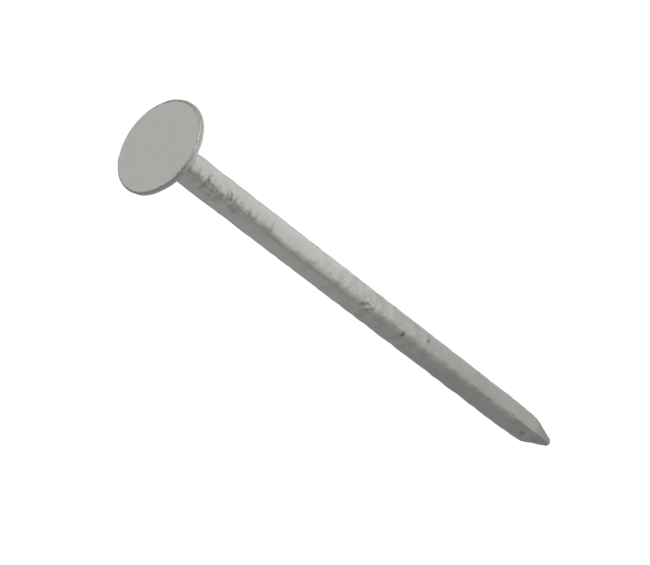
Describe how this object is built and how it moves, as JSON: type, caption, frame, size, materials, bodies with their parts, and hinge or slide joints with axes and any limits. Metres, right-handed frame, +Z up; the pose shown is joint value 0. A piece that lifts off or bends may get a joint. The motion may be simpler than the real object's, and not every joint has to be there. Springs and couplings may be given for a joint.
{
  "type": "nail",
  "caption": "Large-headed galvanised roofing nail: flat round head, gripper marks under it, plain round shank and a four-sided pinched point.",
  "frame": {"origin": "centre of the coated bearing face under the head, the face that comes down on the sheet or board", "axes": "+Z up along the nail out of its hammer face, the shank running down -Z; gripper marks on the +Y and -Y sides; the point's front and back ridges run down the -Y and +Y sides, 6 degrees round from the axis"},
  "size_m": [0.0098, 0.0098, 0.0644],
  "materials": {
    "zinc": "matte",
    "drained_zinc": "matte",
    "dross": "matte",
    "steel": "matte"
  },
  "bodies": {
    "root": {"coat_head": "zinc", "coat_neck": "zinc", "coat_grip": "zinc", "coat_shank": "zinc", "coat_point": "zinc", "tip_bead": "drained_zinc", "dross_pimples": "dross", "steel_head": "steel", "steel_neck": "steel", "steel_grip": "steel", "steel_shank": "steel", "steel_point": "steel"}
  },
  "joints": []
}
